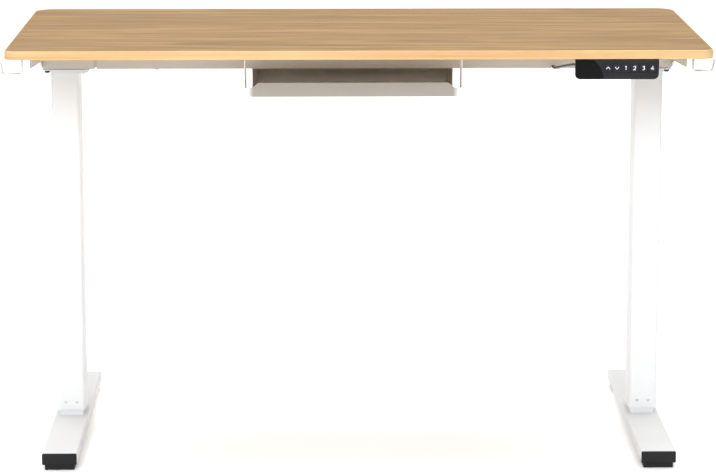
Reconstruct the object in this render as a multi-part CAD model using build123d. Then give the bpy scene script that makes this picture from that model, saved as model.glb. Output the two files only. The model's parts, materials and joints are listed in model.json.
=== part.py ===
from build123d import *
import math
import os

# Height adjustable standing desk, in millimetres.
# X runs along the desk's width, Y from front to back, Z up.
# The origin is on the floor, below the middle of the desktop, at the lowest setting.
# The right-hand pieces are modelled, and the left-hand ones are their mirror images.

# ---- driving dimensions ----
TOP_WIDTH = 1200.0
TOP_DEPTH = 600.0
TOP_THICKNESS = 15.0
FRONT_CORNER, BACK_CORNER = 20.0, 34.0
EDGE_BAND = 2.0
EDGE_ROUND = 1.6
DESK_HEIGHT = 733.0

LEG_X = 520.5
OUTER_WIDTH, OUTER_DEPTH, OUTER_CORNER = 50.0, 70.0, 6.0
INNER_WIDTH, INNER_DEPTH, INNER_CORNER = 44.0, 64.0, 4.0
TUBE_WALL = 1.5
OUTER_BOTTOM = 40.0
OUTER_TOP = 660.0
INNER_TOP = 610.0

FOOT_WIDTH, FOOT_HEIGHT, FOOT_LENGTH, FOOT_WALL = 60.0, 20.0, 588.0, 2.0
FOOT_BOTTOM = 10.0
CAP_THICKNESS = 3.0
PAD_WIDTH, PAD_LENGTH = 52.0, 50.0
PAD_INSET = 30.0

BEAM_DEPTH = 84.0
BEAM_BOTTOM = 667.0
BEAM_WALL = 2.0
LIP_WIDTH = 16.0
RAIL_END = 463.0
END_START = 467.0
END_FINISH = 559.0
SPIGOT_START = 340.0
SPIGOT_GAP = 0.3

SPINDLE_RADIUS = 8.0
JOURNAL_RADIUS = 6.0
SPINDLE_BOTTOM = 120.0
RUNNING_GAP = 0.05
SHAFT_Z = 693.0
SHAFT_HEX_RADIUS = 4.0
GEAR_RADIUS = 14.0
GEAR_GAP = 0.15
GEAR_HUB_RADIUS = 8.0
MOTOR_X = 430.0
MOTOR_BACK = 158.0

TRAY_BOTTOM = 625.0
TRAY_FRONT, TRAY_BACK = -100.0, 75.0
TRAY_CENTRE = -8.0
TRAY_FRONT_WIDTH, TRAY_BACK_WIDTH = 384.0, 345.0
TRAY_SHEET = 1.5
TRAY_LIP, TRAY_LIP_MIDDLE = 16.0, 25.0
LIP_SHOULDER, LIP_FLAT = 178.0, 167.5
TRAY_STRAP = 20.0
TRAY_TAB = 12.0
SLOT_PITCH, SLOT_LENGTH, SLOT_WIDTH = 24.0, 14.0, 3.5

LEFT_HOOK_Y, RIGHT_HOOK_Y = -253.0, -228.0
HOOK_WIDTH, HOOK_SHEET = 18.0, 2.0
HOOK_ARM, HOOK_REACH, HOOK_LOW = 573.5, 606.5, 688.0
HOOK_SCREW_X = 588.0

HANDSET_LEFT, HANDSET_RIGHT = 364.0, 506.0
HANDSET_FRONT, HANDSET_BACK = -300.0, -236.0
HANDSET_HEIGHT = 34.0
HANDSET_WALL = 2.0
HANDSET_TAPER, HANDSET_CORNER = 7.0, 9.0
WINDOW_HIGH_X, WINDOW_MIDDLE_X, WINDOW_LOW_X = 394.5, 407.5, 412.5
KEY_NAMES = ["key_up", "key_down", "key_1", "key_2", "key_3", "key_4"]
KEY_START, KEY_PITCH, KEY_Z = 420.0, 15.0, 703.0
KEY_WIDTH, KEY_HEIGHT = 13.2, 15.0
KEY_GAP = 0.3

BOX_LEFT, BOX_RIGHT = 190.0, 360.0
BOX_FRONT, BOX_BACK = 90.0, 180.0
BOX_BOTTOM = 683.0
CABLE_RADIUS = 2.2
NOTCH_X, NOTCH_HALF, NOTCH_HEIGHT = 348.4, 2.7, 5.0
NOTCH_CABLE_Z = BEAM_BOTTOM + 2.0

# ---- worked-out dimensions ----
UNDERSIDE = DESK_HEIGHT - TOP_THICKNESS
FOOT_TOP = FOOT_BOTTOM + FOOT_HEIGHT
BEAM_HALF = BEAM_DEPTH / 2
PLATE_TOP = BEAM_BOTTOM - 1
HANDSET_BOTTOM = UNDERSIDE - HANDSET_HEIGHT


def block(x0, x1, y0, y1, z0, z1):
    """A block between two planes along each of X, Y and Z."""
    centre = Pos((x0 + x1) / 2, (y0 + y1) / 2, (z0 + z1) / 2)
    return centre * Box(abs(x1 - x0), abs(y1 - y0), abs(z1 - z0))


def rod_z(x, y, z0, z1, radius):
    return Pos(x, y, (z0 + z1) / 2) * Cylinder(radius, abs(z1 - z0))


def rod_x(y, z, x0, x1, radius):
    return Pos((x0 + x1) / 2, y, z) * Rot(0, 90, 0) * Cylinder(radius, abs(x1 - x0))


def rod_y(x, z, y0, y1, radius):
    return Pos(x, (y0 + y1) / 2, z) * Rot(90, 0, 0) * Cylinder(radius, abs(y1 - y0))


def rounded_post(x, y, z0, z1, width, depth, corner):
    return Pos(x, y, z0) * extrude(RectangleRounded(width, depth, corner), z1 - z0)


def rounded_tube(x, y, z0, z1, width, depth, corner, wall):
    bore = rounded_post(x, y, z0, z1, width - 2 * wall, depth - 2 * wall, corner - wall)
    return rounded_post(x, y, z0, z1, width, depth, corner) - bore


def mirrored(shape):
    return mirror(shape, about=Plane.YZ)


def four(dx, dy):
    """The four corners of a rectangle of half sizes dx and dy about the origin."""
    return [(sx * dx, sy * dy) for sx in (-1, 1) for sy in (-1, 1)]


# ---- fasteners ----
WOOD_SHANK, WOOD_HEAD, WOOD_HEAD_HEIGHT, WOOD_DEPTH = 1.8, 4.0, 2.0, 11.0
BOLT_SHANK, BOLT_HEAD, BOLT_HEAD_HEIGHT, BOLT_LENGTH = 3.0, 4.8, 5.0, 14.0
SMALL_SHANK, SMALL_HEAD, SMALL_HEAD_HEIGHT, SMALL_LENGTH = 2.5, 4.5, 3.0, 12.0
GLIDE_SHANK, GLIDE_HEAD, GLIDE_HEAD_HEIGHT, GLIDE_LENGTH = 1.5, 2.8, 0.8, 2.6


def screw(shank, head, head_height, length):
    """A pan-headed screw along +Z: the head's bearing face is at the origin."""
    body = rod_z(0, 0, -head_height, 0, head)
    body = fillet(body.edges().sort_by(Axis.Z)[0], head_height * 0.5)
    socket = Pos(0, 0, -head_height) * extrude(RegularPolygon(head * 0.42, 6), head_height * 0.5)
    return body + rod_z(0, 0, -0.01, length, shank) - socket


def dome_bolt():
    return screw(BOLT_SHANK, BOLT_HEAD, BOLT_HEAD_HEIGHT, BOLT_LENGTH)


def small_screw():
    return screw(SMALL_SHANK, SMALL_HEAD, SMALL_HEAD_HEIGHT, SMALL_LENGTH)


def wood_screw(x, y, seat):
    return Pos(x, y, seat) * screw(WOOD_SHANK, WOOD_HEAD, WOOD_HEAD_HEIGHT, UNDERSIDE - seat + WOOD_DEPTH)


# Places of the screws that go up into the desktop, with the height of the face they bear on.
BRACKET_SHEET = 2.5
BRACKET_FLANGE = 28.0
BRACKET_SCREWS = [
    (side * (END_FINISH - 14), y, UNDERSIDE - BRACKET_SHEET)
    for side in (-1, 1) for y in (-215, -120, 120, 215)
]
RAIL_SCREWS = [(x, y, UNDERSIDE - BEAM_WALL) for x in (-260, 0, 260) for y in (-22, 22)]
TRAY_SCREWS = [
    (TRAY_CENTRE + dx, TRAY_BACK - 7, UNDERSIDE - TRAY_SHEET) for dx in (-120, 0, 120)
] + [
    (TRAY_CENTRE + side * (TRAY_FRONT_WIDTH / 2 - 8), TRAY_FRONT + 6.5, UNDERSIDE - TRAY_SHEET)
    for side in (-1, 1)
]
HOOK_SCREWS = [
    (side * HOOK_SCREW_X, y + dy, UNDERSIDE - HOOK_SHEET)
    for side, y in ((-1, LEFT_HOOK_Y), (1, RIGHT_HOOK_Y)) for dy in (-4.6, 4.6)
]
HANDSET_EAR = 4.0
HANDSET_SCREWS = [(x, HANDSET_BACK + 7, UNDERSIDE - HANDSET_EAR) for x in (400.0, 470.0)]
BOX_EAR = 3.0
BOX_SCREWS = [
    (x, y, UNDERSIDE - BOX_EAR) for x in (BOX_LEFT - 6, BOX_RIGHT + 6) for y in (105.0, 165.0)
]
CLIP_SHEET = 2.0
CLIP_GAP = 0.4
CLIP_SCREWS = [(389.0, -205.0, UNDERSIDE - CLIP_SHEET), (371.0, 236.0, UNDERSIDE - CLIP_SHEET)]
WOOD_SCREWS = (
    BRACKET_SCREWS + RAIL_SCREWS + TRAY_SCREWS + HOOK_SCREWS + HANDSET_SCREWS + BOX_SCREWS + CLIP_SCREWS
)

COLUMN_BOLTS = four(31.0, 33.0)
LUG_SHEET = 2.0
BRACKET_BOLTS = [(-30.0, 695.0), (30.0, 695.0)]
RAIL_JOINT_X = 357.0
RAIL_JOINT_Y = 34.0
MOTOR_SCREWS = [(dx, dz) for dx in (-25.0, 25.0) for dz in (-16.0, 16.0)]
GLIDE_SCREW_X = 10.3
GLIDE_SCREW_Z = 55.0
FOOT_BOLTS = four(12.0, 22.0)


# ---- desktop ----
def top_outline(inset):
    """The desktop's outline shrunk by an inset; the back corners are rounder than the front ones."""
    outline = Rectangle(TOP_WIDTH - 2 * inset, TOP_DEPTH - 2 * inset)
    outline = fillet(outline.vertices().group_by(Axis.Y)[-1], BACK_CORNER - inset)
    return fillet(outline.vertices().group_by(Axis.Y)[0], FRONT_CORNER - inset)


def desktop():
    board = Pos(0, 0, UNDERSIDE) * extrude(top_outline(EDGE_BAND), TOP_THICKNESS)
    for x, y, _ in WOOD_SCREWS:
        board -= rod_z(x, y, UNDERSIDE - 1, UNDERSIDE + WOOD_DEPTH + 0.3, WOOD_SHANK)
    return board


def edge_band():
    outer = Pos(0, 0, UNDERSIDE) * extrude(top_outline(0), TOP_THICKNESS)
    rims = outer.faces().filter_by(Plane.XY)
    outer = fillet([edge for face in rims for edge in face.edges()], EDGE_ROUND)
    return outer - Pos(0, 0, UNDERSIDE - 1) * extrude(top_outline(EDGE_BAND), TOP_THICKNESS + 2)


# ---- crossbeam ----
def channel(x0, x1, half, z0, z1):
    """A sheet channel along X, open downwards between two inward lips."""
    lip_edge = BEAM_HALF - LIP_WIDTH
    shell = block(x0, x1, -half, half, z0, z1)
    shell -= block(x0 - 1, x1 + 1, -half + BEAM_WALL, half - BEAM_WALL, z0 + BEAM_WALL, z1 - BEAM_WALL)
    return shell - block(x0 - 1, x1 + 1, -lip_edge, lip_edge, z0 - 1, z1 - BEAM_WALL)


def motor_cutout():
    return rod_y(MOTOR_X, SHAFT_Z, 30, 50, GEAR_RADIUS + 2)


def motor_screw_holes():
    holes = Part()
    for dx, dz in MOTOR_SCREWS:
        holes += rod_y(MOTOR_X + dx, SHAFT_Z + dz, 36, 60, SMALL_SHANK)
    return holes


def cable_notch():
    """The slot across the crossbeam's underside that the handset cable passes through."""
    return block(
        NOTCH_X - NOTCH_HALF, NOTCH_X + NOTCH_HALF, -BEAM_HALF - 1, BEAM_HALF + 1,
        BEAM_BOTTOM - 1, BEAM_BOTTOM + NOTCH_HEIGHT,
    )


def crossbeam_rail():
    rail = channel(-RAIL_END, RAIL_END, BEAM_HALF, BEAM_BOTTOM, UNDERSIDE)
    for x, y, _ in RAIL_SCREWS:
        rail -= rod_z(x, y, BEAM_BOTTOM + 30, UNDERSIDE + 1, WOOD_SHANK)
    for side in (-1, 1):
        for y in (-RAIL_JOINT_Y, RAIL_JOINT_Y):
            rail -= rod_z(side * RAIL_JOINT_X, y, BEAM_BOTTOM - 1, BEAM_BOTTOM + 3, SMALL_SHANK)
    return rail - motor_cutout() - motor_screw_holes() - cable_notch()


def beam_end(with_motor):
    """The crossbeam's end piece: a housing over the leg with a spigot that slides into the rail."""
    spigot_half = BEAM_HALF - BEAM_WALL - SPIGOT_GAP
    low = BEAM_BOTTOM + BEAM_WALL + SPIGOT_GAP
    high = UNDERSIDE - BEAM_WALL - SPIGOT_GAP
    head = channel(END_START, END_FINISH, BEAM_HALF, BEAM_BOTTOM, UNDERSIDE)
    head += block(END_FINISH - BEAM_WALL, END_FINISH, -BEAM_HALF, BEAM_HALF, BEAM_BOTTOM, UNDERSIDE)
    corners = head.edges().filter_by(Axis.Y).filter_by_position(Axis.X, END_FINISH - 0.1, END_FINISH + 0.1)
    head = fillet(corners.sort_by(Axis.Z)[0], 1.5)
    spigot = channel(SPIGOT_START, END_START + 2, spigot_half, low, high)
    collar = block(END_START, END_START + 4, -BEAM_HALF, BEAM_HALF, BEAM_BOTTOM, UNDERSIDE)
    inside = spigot_half - BEAM_WALL
    collar -= block(END_START - 1, END_START + 5, -inside, inside, low + BEAM_WALL, high - BEAM_WALL)
    lip_edge = BEAM_HALF - LIP_WIDTH
    collar -= block(END_START - 1, END_START + 5, -lip_edge, lip_edge, BEAM_BOTTOM - 1, high - BEAM_WALL)
    piece = head + spigot + collar
    for dx, dy in COLUMN_BOLTS:
        nut = block(LEG_X + dx - 5.5, LEG_X + dx + 5.5, dy - 5, dy + 5, BEAM_BOTTOM + 1.9, BEAM_BOTTOM + 7)
        piece += nut
        piece -= rod_z(LEG_X + dx, dy, BEAM_BOTTOM - 1, BEAM_BOTTOM + 8, BOLT_SHANK)
    for y, z in BRACKET_BOLTS:
        piece += block(END_FINISH - 8, END_FINISH - 1.9, y - 5, y + 5, z - 5, z + 5)
        piece -= rod_x(y, z, END_FINISH - 9, END_FINISH + 1, BOLT_SHANK)
    for y in (-RAIL_JOINT_Y, RAIL_JOINT_Y):
        piece -= rod_z(RAIL_JOINT_X, y, low - 1, low + 3, SMALL_SHANK)
    if with_motor:
        piece -= motor_cutout() + motor_screw_holes() + cable_notch()
    return piece


def side_bracket():
    """A sheet arm under one end of the desktop, deepest where it bolts to the crossbeam."""
    tip, waist, root = UNDERSIDE - 22, UNDERSIDE - 34, BEAM_BOTTOM + 2
    reach, waist_y = 238.0, 70.0
    outline = Polyline(
        (-reach, UNDERSIDE), (-reach, tip), (-waist_y, waist), (-BEAM_HALF, root),
        (BEAM_HALF, root), (waist_y, waist), (reach, tip), (reach, UNDERSIDE), close=True,
    )
    wall = Pos(END_FINISH, 0, 0) * extrude(Plane.YZ * make_face(outline), BRACKET_SHEET)
    flange = block(
        END_FINISH - BRACKET_FLANGE, END_FINISH + 1, -reach, reach, UNDERSIDE - BRACKET_SHEET, UNDERSIDE
    )
    flange -= block(0, END_FINISH, -BEAM_HALF - 1, BEAM_HALF + 1, BEAM_BOTTOM, UNDERSIDE + 1)
    bracket = wall + flange
    for x, y, _ in BRACKET_SCREWS:
        if x > 0:
            bracket -= rod_z(x, y, UNDERSIDE - 5, UNDERSIDE + 1, WOOD_SHANK)
    for y, z in BRACKET_BOLTS:
        bracket -= rod_x(y, z, END_FINISH - 1, END_FINISH + 5, BOLT_SHANK)
    return bracket


# ---- legs ----
def column_flange():
    """The plate on top of the column, with raised pads under the crossbeam."""
    x0, x1 = LEG_X - 44.5, LEG_X + 38.5
    lug_start, lug_bottom = LEG_X + OUTER_WIDTH / 2 + 0.5, PLATE_TOP - LUG_SHEET
    plate = block(x0, x1, -BEAM_HALF, BEAM_HALF, OUTER_TOP, PLATE_TOP)
    slope = plate.edges().filter_by(Axis.Y).filter_by_position(Axis.X, x0 - 0.1, x0 + 0.1).sort_by(Axis.Z)[0]
    plate = chamfer(slope, PLATE_TOP - OUTER_TOP - 1.2)
    plate -= block(lug_start, x1 + 1, -BEAM_HALF - 1, BEAM_HALF + 1, OUTER_TOP - 1, lug_bottom)
    plate = fillet(plate.edges().filter_by(Axis.Z).filter_by_position(Axis.X, x1 - 0.1, x1 + 0.1), 7)
    for dx, dy in COLUMN_BOLTS:
        plate += rod_z(LEG_X + dx, dy, PLATE_TOP - 0.1, BEAM_BOTTOM, 6.5)
        plate -= rod_z(LEG_X + dx, dy, OUTER_TOP - 1, BEAM_BOTTOM + 1, BOLT_SHANK)
    return plate - rod_z(LEG_X, 0, OUTER_TOP - 1, PLATE_TOP + 1, GEAR_RADIUS)


def glide_screw_holes(reach):
    holes = Part()
    for dx in (-GLIDE_SCREW_X, GLIDE_SCREW_X):
        for side in (-1, 1):
            face = side * OUTER_DEPTH / 2
            holes += rod_y(LEG_X + dx, GLIDE_SCREW_Z, face + side, face - side * reach, GLIDE_SHANK)
    return holes


def outer_tube():
    tube = rounded_tube(LEG_X, 0, OUTER_BOTTOM, OUTER_TOP, OUTER_WIDTH, OUTER_DEPTH, OUTER_CORNER, TUBE_WALL)
    return tube - glide_screw_holes(GLIDE_LENGTH)


def inner_tube():
    return rounded_tube(LEG_X, 0, FOOT_TOP, INNER_TOP, INNER_WIDTH, INNER_DEPTH, INNER_CORNER, TUBE_WALL)


def lower_glide():
    """A plastic liner in the column's mouth, running on the inner tube."""
    width, depth = OUTER_WIDTH - 2 * TUBE_WALL, OUTER_DEPTH - 2 * TUBE_WALL
    liner = rounded_post(
        LEG_X, 0, OUTER_BOTTOM + 2, OUTER_BOTTOM + 40, width, depth, OUTER_CORNER - TUBE_WALL
    )
    bore = rounded_post(
        LEG_X, 0, OUTER_BOTTOM, OUTER_BOTTOM + 42,
        INNER_WIDTH + 2 * RUNNING_GAP, INNER_DEPTH + 2 * RUNNING_GAP, INNER_CORNER + RUNNING_GAP,
    )
    return liner - bore - glide_screw_holes(GLIDE_LENGTH)


def upper_glide():
    """A plastic sleeve round the top of the inner tube, running in the column."""
    width, depth = OUTER_WIDTH - 2 * TUBE_WALL, OUTER_DEPTH - 2 * TUBE_WALL
    sleeve = rounded_post(
        LEG_X, 0, INNER_TOP - 50, INNER_TOP - 2,
        width - 2 * RUNNING_GAP, depth - 2 * RUNNING_GAP, OUTER_CORNER - TUBE_WALL - RUNNING_GAP,
    )
    return sleeve - rounded_post(LEG_X, 0, INNER_TOP - 51, INNER_TOP, INNER_WIDTH, INNER_DEPTH, INNER_CORNER)


def base_plate():
    """The threaded block welded into the foot of the inner tube."""
    plate = rounded_post(
        LEG_X, 0, FOOT_TOP, FOOT_TOP + 8,
        INNER_WIDTH - 2 * TUBE_WALL, INNER_DEPTH - 2 * TUBE_WALL, INNER_CORNER - TUBE_WALL,
    )
    for dx, dy in FOOT_BOLTS:
        plate -= rod_z(LEG_X + dx, dy, FOOT_TOP - 1, FOOT_TOP + 9, BOLT_SHANK)
    return plate


def foot():
    """A flat tube along Y, closed at both ends by caps."""
    length = FOOT_LENGTH - 2 * CAP_THICKNESS
    section = RectangleRounded(FOOT_WIDTH, FOOT_HEIGHT, 2.5)
    bore = RectangleRounded(FOOT_WIDTH - 2 * FOOT_WALL, FOOT_HEIGHT - 2 * FOOT_WALL, 0.8)
    place = Pos(LEG_X, length / 2, FOOT_BOTTOM + FOOT_HEIGHT / 2) * Rot(90, 0, 0)
    tube = place * extrude(section, length) - place * extrude(bore, length)
    for dx, dy in FOOT_BOLTS:
        tube -= rod_z(LEG_X + dx, dy, FOOT_TOP - 3, FOOT_TOP + 1, BOLT_SHANK)
        tube -= rod_z(LEG_X + dx, dy, FOOT_BOTTOM - 1, FOOT_BOTTOM + 3, BOLT_HEAD + 1)
    for y in pad_places():
        tube -= rod_z(LEG_X, y, FOOT_BOTTOM - 1, FOOT_BOTTOM + 3, 4 + RUNNING_GAP)
    return tube


def pad_places():
    return (-FOOT_LENGTH / 2 + PAD_INSET, FOOT_LENGTH / 2 - PAD_INSET)


def foot_cap(side):
    """A moulded cap on one end of the foot, with a short plug inside the tube."""
    face = side * FOOT_LENGTH / 2
    inner = face - side * CAP_THICKNESS
    section = Plane.XZ * RectangleRounded(FOOT_WIDTH, FOOT_HEIGHT, 2.5)
    plate = Pos(LEG_X, max(face, inner), FOOT_BOTTOM + FOOT_HEIGHT / 2) * extrude(section, CAP_THICKNESS)
    outer_rim = plate.faces().sort_by(Axis.Y)[-1 if side > 0 else 0].edges()
    plate = fillet(outer_rim, 1.0)
    plug = block(
        LEG_X - 26, LEG_X + 26, inner + side * 0.01, inner - side * 14, FOOT_BOTTOM + 2.8, FOOT_TOP - 2.8
    )
    hollow = block(
        LEG_X - 24, LEG_X + 24, inner - side * 1, inner - side * 15, FOOT_BOTTOM + 4.8, FOOT_TOP - 4.8
    )
    return plate + plug - hollow


def levelling_foot(side_y):
    """A flat pad on a threaded stud; the stud is a plain cylinder."""
    pad = rounded_post(LEG_X, side_y, 0, FOOT_BOTTOM - 0.5, PAD_WIDTH, PAD_LENGTH, 2.5)
    pad = fillet(pad.faces().sort_by(Axis.Z)[0].edges(), 1.2)
    return pad + rod_z(LEG_X, side_y, FOOT_BOTTOM - 1, FOOT_TOP - 3, 4)


# ---- drive ----
def spindle():
    screw_part = rod_z(LEG_X, 0, SPINDLE_BOTTOM, OUTER_TOP - RUNNING_GAP, SPINDLE_RADIUS)
    screw_part = chamfer(screw_part.edges().sort_by(Axis.Z)[0], 1.5)
    journal = rod_z(LEG_X, 0, OUTER_TOP - 1, SHAFT_Z - 9, JOURNAL_RADIUS - RUNNING_GAP)
    return screw_part + journal


def spindle_nut():
    nut = rounded_post(
        LEG_X, 0, INNER_TOP - 27, INNER_TOP - 2,
        INNER_WIDTH - 2 * TUBE_WALL, INNER_DEPTH - 2 * TUBE_WALL, INNER_CORNER - TUBE_WALL,
    )
    return nut - rod_z(LEG_X, 0, INNER_TOP - 28, INNER_TOP, SPINDLE_RADIUS + RUNNING_GAP)


def spindle_bearing():
    ring = rod_z(LEG_X, 0, OUTER_TOP, PLATE_TOP, GEAR_RADIUS)
    return ring - rod_z(LEG_X, 0, OUTER_TOP - 1, PLATE_TOP + 1, JOURNAL_RADIUS)


def bevel_gear(hub_length, bore):
    """The pitch cone of a mitre gear, apex at the origin, with its hub towards -Z."""
    apex, tip = -GEAR_GAP, GEAR_RADIUS / 2
    cone = Pos(0, 0, apex - (GEAR_RADIUS + tip) / 2) * Cone(GEAR_RADIUS, tip, GEAR_RADIUS - tip)
    hub = rod_z(0, 0, apex - GEAR_RADIUS - hub_length, apex - GEAR_RADIUS + 0.01, GEAR_HUB_RADIUS)
    return cone + hub - bore


def hex_bore(length):
    return Pos(0, 0, -length) * extrude(RegularPolygon(SHAFT_HEX_RADIUS, 6), length)


def spindle_gear():
    bore = rod_z(0, 0, -60, 0, JOURNAL_RADIUS - RUNNING_GAP)
    return Pos(LEG_X, 0, SHAFT_Z) * bevel_gear(6.0, bore)


def shaft_gear():
    return Pos(LEG_X, 0, SHAFT_Z) * Rot(0, 90, 0) * bevel_gear(16.0, hex_bore(60))


def motor_drive_gear():
    return Pos(MOTOR_X, 0, SHAFT_Z) * Rot(0, 90, 0) * bevel_gear(8.0, hex_bore(60))


def cross_shaft():
    end = LEG_X - GEAR_RADIUS / 2 - GEAR_GAP
    return Pos(end, 0, SHAFT_Z) * Rot(0, 90, 0) * Pos(0, 0, -2 * end) * extrude(
        RegularPolygon(SHAFT_HEX_RADIUS, 6), 2 * end
    )


def gearbox():
    """The gear housing on the column's flange."""
    shell = block(LEG_X - 25, LEG_X + 25, -25, 25, PLATE_TOP, UNDERSIDE - 6)
    shell = fillet(shell.edges().filter_by(Axis.Z), 4)
    shell -= block(LEG_X - 20, LEG_X + 20, -20, 20, PLATE_TOP + 4, UNDERSIDE - 10)
    shell -= rod_z(LEG_X, 0, PLATE_TOP - 1, PLATE_TOP + 5, GEAR_HUB_RADIUS + 1)
    return shell - rod_x(0, SHAFT_Z, LEG_X - 26, LEG_X - 19, GEAR_HUB_RADIUS + RUNNING_GAP)


def motor_housing():
    """A geared motor flanged to the back of the crossbeam."""
    flange = block(MOTOR_X - 30, MOTOR_X + 30, BEAM_HALF, BEAM_HALF + 8, SHAFT_Z - 22, SHAFT_Z + 22)
    flange = fillet(flange.edges().filter_by(Axis.Y), 3)
    can = rod_y(MOTOR_X, SHAFT_Z, BEAM_HALF + 7, MOTOR_BACK, 24)
    can = fillet(can.edges().sort_by(Axis.Y)[-1], 3)
    shell = flange + can
    shell -= rod_y(MOTOR_X, SHAFT_Z, BEAM_HALF + 8, 150, 21)
    shell -= rod_y(MOTOR_X, SHAFT_Z, BEAM_HALF - 1, BEAM_HALF + 9, GEAR_HUB_RADIUS + RUNNING_GAP)
    shell -= rod_y(MOTOR_X, SHAFT_Z, 149, 154.5, 4 + RUNNING_GAP)
    return shell - motor_screw_holes()


def motor_rotor():
    """The motor's shaft, with its rotor core and the mitre pinion on its nose."""
    pinion = Pos(MOTOR_X, 0, SHAFT_Z) * Rot(90, 0, 0) * bevel_gear(36.0, Part())
    shaft = rod_y(MOTOR_X, SHAFT_Z, 49, 154, 4)
    return pinion + shaft + rod_y(MOTOR_X, SHAFT_Z, 65, 130, 17)


# ---- control box and cables ----
INLET_X, INLET_WIDTH, INLET_HEIGHT = 240.0, 28.0, 20.0
INLET_Z = BOX_BOTTOM + 17
MOTOR_PORT_X = 326.0
HANDSET_PORT_Z = 690.0


def control_box():
    shell = block(BOX_LEFT, BOX_RIGHT, BOX_FRONT, BOX_BACK, BOX_BOTTOM, UNDERSIDE)
    shell = fillet(shell.edges().filter_by(Axis.Z), 4)
    low_rim = shell.faces().sort_by(Axis.Z)[0].edges()
    shell = fillet(low_rim, 2)
    shell -= block(
        BOX_LEFT + 2.5, BOX_RIGHT - 2.5, BOX_FRONT + 2.5, BOX_BACK - 2.5, BOX_BOTTOM + 2.5, UNDERSIDE - 2
    )
    ears = block(BOX_LEFT - 12, BOX_LEFT + 1, 95, 175, UNDERSIDE - BOX_EAR, UNDERSIDE)
    ears += block(BOX_RIGHT - 1, BOX_RIGHT + 12, 95, 175, UNDERSIDE - BOX_EAR, UNDERSIDE)
    shell += ears
    for x, y, _ in BOX_SCREWS:
        shell -= rod_z(x, y, UNDERSIDE - 5, UNDERSIDE + 1, WOOD_SHANK)
    half_width, half_height = INLET_WIDTH / 2 - 2, INLET_HEIGHT / 2 - 2
    return shell - block(
        INLET_X - half_width, INLET_X + half_width, BOX_BACK - 4, BOX_BACK + 1,
        INLET_Z - half_height, INLET_Z + half_height,
    )


def mains_inlet():
    """A two-pin appliance inlet, with its flange on the back of the control box."""
    depth = 16.0
    half_width, half_height = INLET_WIDTH / 2 - 2, INLET_HEIGHT / 2 - 2
    body = block(
        INLET_X - half_width, INLET_X + half_width, BOX_BACK - depth - 2, BOX_BACK + 2,
        INLET_Z - half_height, INLET_Z + half_height,
    )
    body += block(
        INLET_X - INLET_WIDTH / 2, INLET_X + INLET_WIDTH / 2, BOX_BACK, BOX_BACK + 2,
        INLET_Z - INLET_HEIGHT / 2, INLET_Z + INLET_HEIGHT / 2,
    )
    body -= block(
        INLET_X - half_width + 1.5, INLET_X + half_width - 1.5, BOX_BACK - depth, BOX_BACK + 3,
        INLET_Z - half_height + 1.5, INLET_Z + half_height - 1.5,
    )
    for dx in (-4.3, 4.3):
        body += rod_y(INLET_X + dx, INLET_Z, BOX_BACK - depth - 1, BOX_BACK - 6, 1.2)
    return body


def control_board():
    seat = BOX_BOTTOM + 7.5
    board = block(BOX_LEFT + 8, BOX_RIGHT - 8, BOX_FRONT + 8, BOX_BACK - 22, BOX_BOTTOM + 6, seat + 0.1)
    standoffs = Part()
    for x in (BOX_LEFT + 14, BOX_RIGHT - 14):
        for y in (BOX_FRONT + 14, BOX_BACK - 28):
            standoffs += rod_z(x, y, BOX_BOTTOM + 2.5, BOX_BOTTOM + 6.1, 3)
    transformer = block(BOX_LEFT + 20, BOX_LEFT + 62, BOX_FRONT + 20, BOX_FRONT + 50, seat, BOX_BOTTOM + 27)
    heatsink = block(BOX_LEFT + 90, BOX_LEFT + 98, BOX_FRONT + 16, BOX_FRONT + 60, seat, BOX_BOTTOM + 25)
    capacitors = Part()
    for dx in (112, 128):
        capacitors += rod_z(BOX_LEFT + dx, BOX_FRONT + 30, seat, BOX_BOTTOM + 26, 6)
    return board + standoffs + transformer + heatsink + capacitors


HANDSET_CABLE = [
    (380, HANDSET_BACK, 697.5), (380, -216, 697.5), (374, -180, 692.5), (366, -135, 685), (356, -92, 676),
    (NOTCH_X, -58, NOTCH_CABLE_Z), (NOTCH_X, 52, NOTCH_CABLE_Z),
    (NOTCH_X, 75, HANDSET_PORT_Z), (NOTCH_X, BOX_FRONT, HANDSET_PORT_Z),
]
MOTOR_CABLE = [
    (MOTOR_X, MOTOR_BACK, 697), (MOTOR_X, 180, 697), (MOTOR_X - 12, 210, 700), (MOTOR_X - 40, 226, 704),
    (MOTOR_X - 78, 224, 703), (MOTOR_PORT_X, 203, 699), (MOTOR_PORT_X, BOX_BACK, 699),
]


def corner_radii(points):
    """A radius for each corner of a route: 0.45 of its shorter run over the tangent of half its turn."""
    radii = []
    for before, here, after in zip(points, points[1:], points[2:]):
        run_in = Vector(*here) - Vector(*before)
        run_out = Vector(*after) - Vector(*here)
        half_turn = math.radians(run_in.get_angle(run_out)) / 2
        radii.append(0.45 * min(run_in.length, run_out.length) / math.tan(half_turn))
    return radii


def cable(points, name):
    radii = corner_radii(points)
    route = FilletPolyline(*points, radius=radii)
    start = Plane(origin=points[0], z_dir=Vector(*points[1]) - Vector(*points[0]))
    tube = sweep(start * Circle(CABLE_RADIUS), path=route)
    ideal = math.pi * CABLE_RADIUS**2 * route.length
    print(name, "length", round(route.length, 1), "radii", [round(r, 1) for r in radii])
    print(name, "volume ratio", round(tube.volume / ideal, 4))
    return tube


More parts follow.
